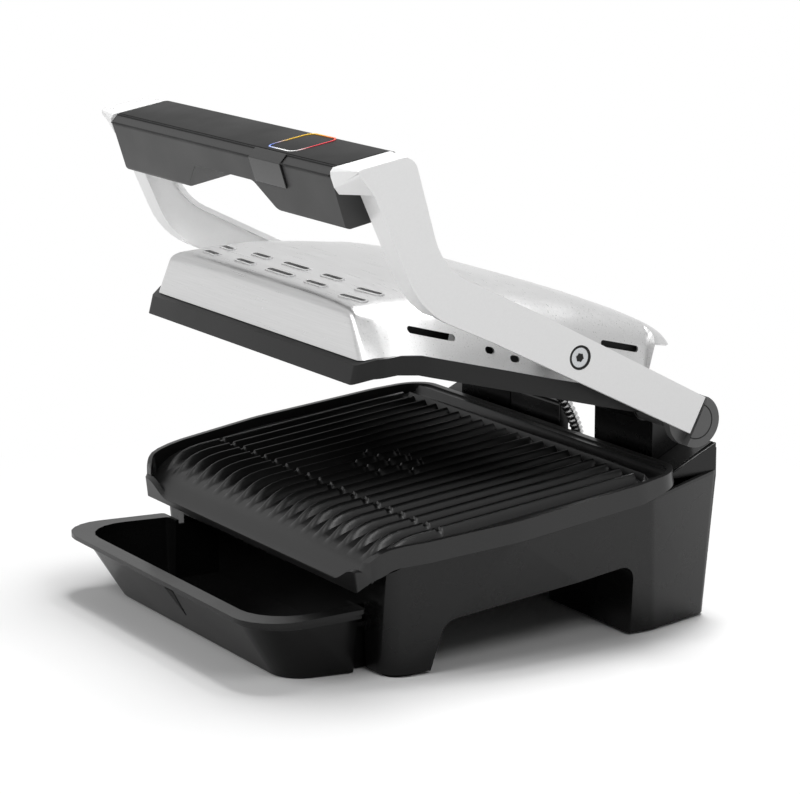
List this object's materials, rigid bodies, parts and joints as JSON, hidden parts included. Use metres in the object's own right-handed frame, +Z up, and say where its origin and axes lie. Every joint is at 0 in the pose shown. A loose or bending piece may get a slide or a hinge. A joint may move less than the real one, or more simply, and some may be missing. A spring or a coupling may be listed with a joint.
{
  "type": "indoor grill",
  "caption": "Electric contact grill, half open: ribbed plates, floating lid between two arms with a front handle, and a pull-out drip tray.",
  "frame": {"origin": "on the floor at the middle of the footprint", "axes": "+Z up, -Y towards the user and the drip tray, +X to the right seen from the front"},
  "size_m": [0.37, 0.363, 0.3472],
  "materials": {
    "black_plastic": "satin moulded plastic",
    "deck_plastic": "matt moulded plastic",
    "grey_plastic": "satin moulded plastic",
    "cap_plastic": "satin moulded plastic",
    "tray_plastic": "satin outside, glossy inside",
    "coated_plate": "dark non-stick coating on cast aluminium",
    "brushed_shell": "brushed",
    "arm_metal": "satin silver",
    "steel": "bright steel",
    "heater_steel": "heat-dulled steel",
    "rubber": "matt",
    "board": "circuit board",
    "ceramic": "matt",
    "handle_dark": "satin",
    "smoke": "smoked, glossy",
    "lens": "clear diffuser"
  },
  "bodies": {
    "base": {"base_housing": "black_plastic", "bottom_cover": "deck_plastic", "deck_cover": "deck_plastic", "rubber_feet": "rubber", "hinge_tower_right": "deck_plastic", "hinge_tower_left": "deck_plastic", "cable_block": "grey_plastic", "lower_plate": "coated_plate", "lower_heater": "heater_steel", "lower_reflector": "heater_steel", "plate_sensor": "steel", "control_pcb": "board", "terminal_block": "ceramic", "cord_gland": "rubber", "lower_latch_spring": "steel", "cover_screws": "steel", "cable_conduit": "steel"},
    "drip_tray": {"drip_tray": "tray_plastic"},
    "lower_release": {"lower_release": "grey_plastic"},
    "arm_frame": {"arm_right": "arm_metal", "arm_left": "arm_metal", "hinge_pins": "steel", "hinge_caps": "cap_plastic", "hinge_washers": "steel", "handle_housing": "grey_plastic", "handle_cover": "handle_dark", "handle_bezel": "handle_dark", "display_band": "smoke", "display_lens": "lens", "handle_pcb": "board", "handle_screws": "steel"},
    "lid": {"lid_shell": "brushed_shell", "lid_frame": "grey_plastic", "upper_plate": "coated_plate", "upper_heater": "heater_steel", "upper_reflector": "heater_steel", "lid_pivot_screws": "steel", "lid_bushes": "steel", "thickness_sensor": "deck_plastic", "upper_latch": "steel"},
    "upper_release": {"upper_release": "deck_plastic"}
  },
  "joints": [
    {"name": "arm_hinge", "type": "hinge", "parent": "base", "child": "arm_frame", "pos_m": [0, 0.138, 0.15247], "axis": [-1, 0, 0], "range_deg": [-36.8, 33], "deforming": ["cable_conduit"]},
    {"name": "lid_pivot", "type": "hinge", "parent": "arm_frame", "child": "lid", "pos_m": [0, 0.04248, 0.20592], "axis": [-1, 0, 0], "range_deg": [-15, 16.4]},
    {"name": "tray_slide", "type": "slide", "parent": "base", "child": "drip_tray", "axis": [0, -1, 0], "range_m": [0, 0.11]},
    {"name": "lower_release_press", "type": "slide", "parent": "base", "child": "lower_release", "axis": [1, 0, 0], "range_m": [0, 0.004], "stiffness_N_per_m": 400, "springref_m": -0.002, "deforming": ["lower_latch_spring"]},
    {"name": "upper_release_press", "type": "slide", "parent": "lid", "child": "upper_release", "axis": [1, 0, 0], "range_m": [0, 0.0012], "stiffness_N_per_m": 600, "springref_m": -0.001}
  ],
  "couplings": [
    {"joint": "lid_pivot", "follows": "arm_hinge", "ratio": -0.4348}
  ]
}
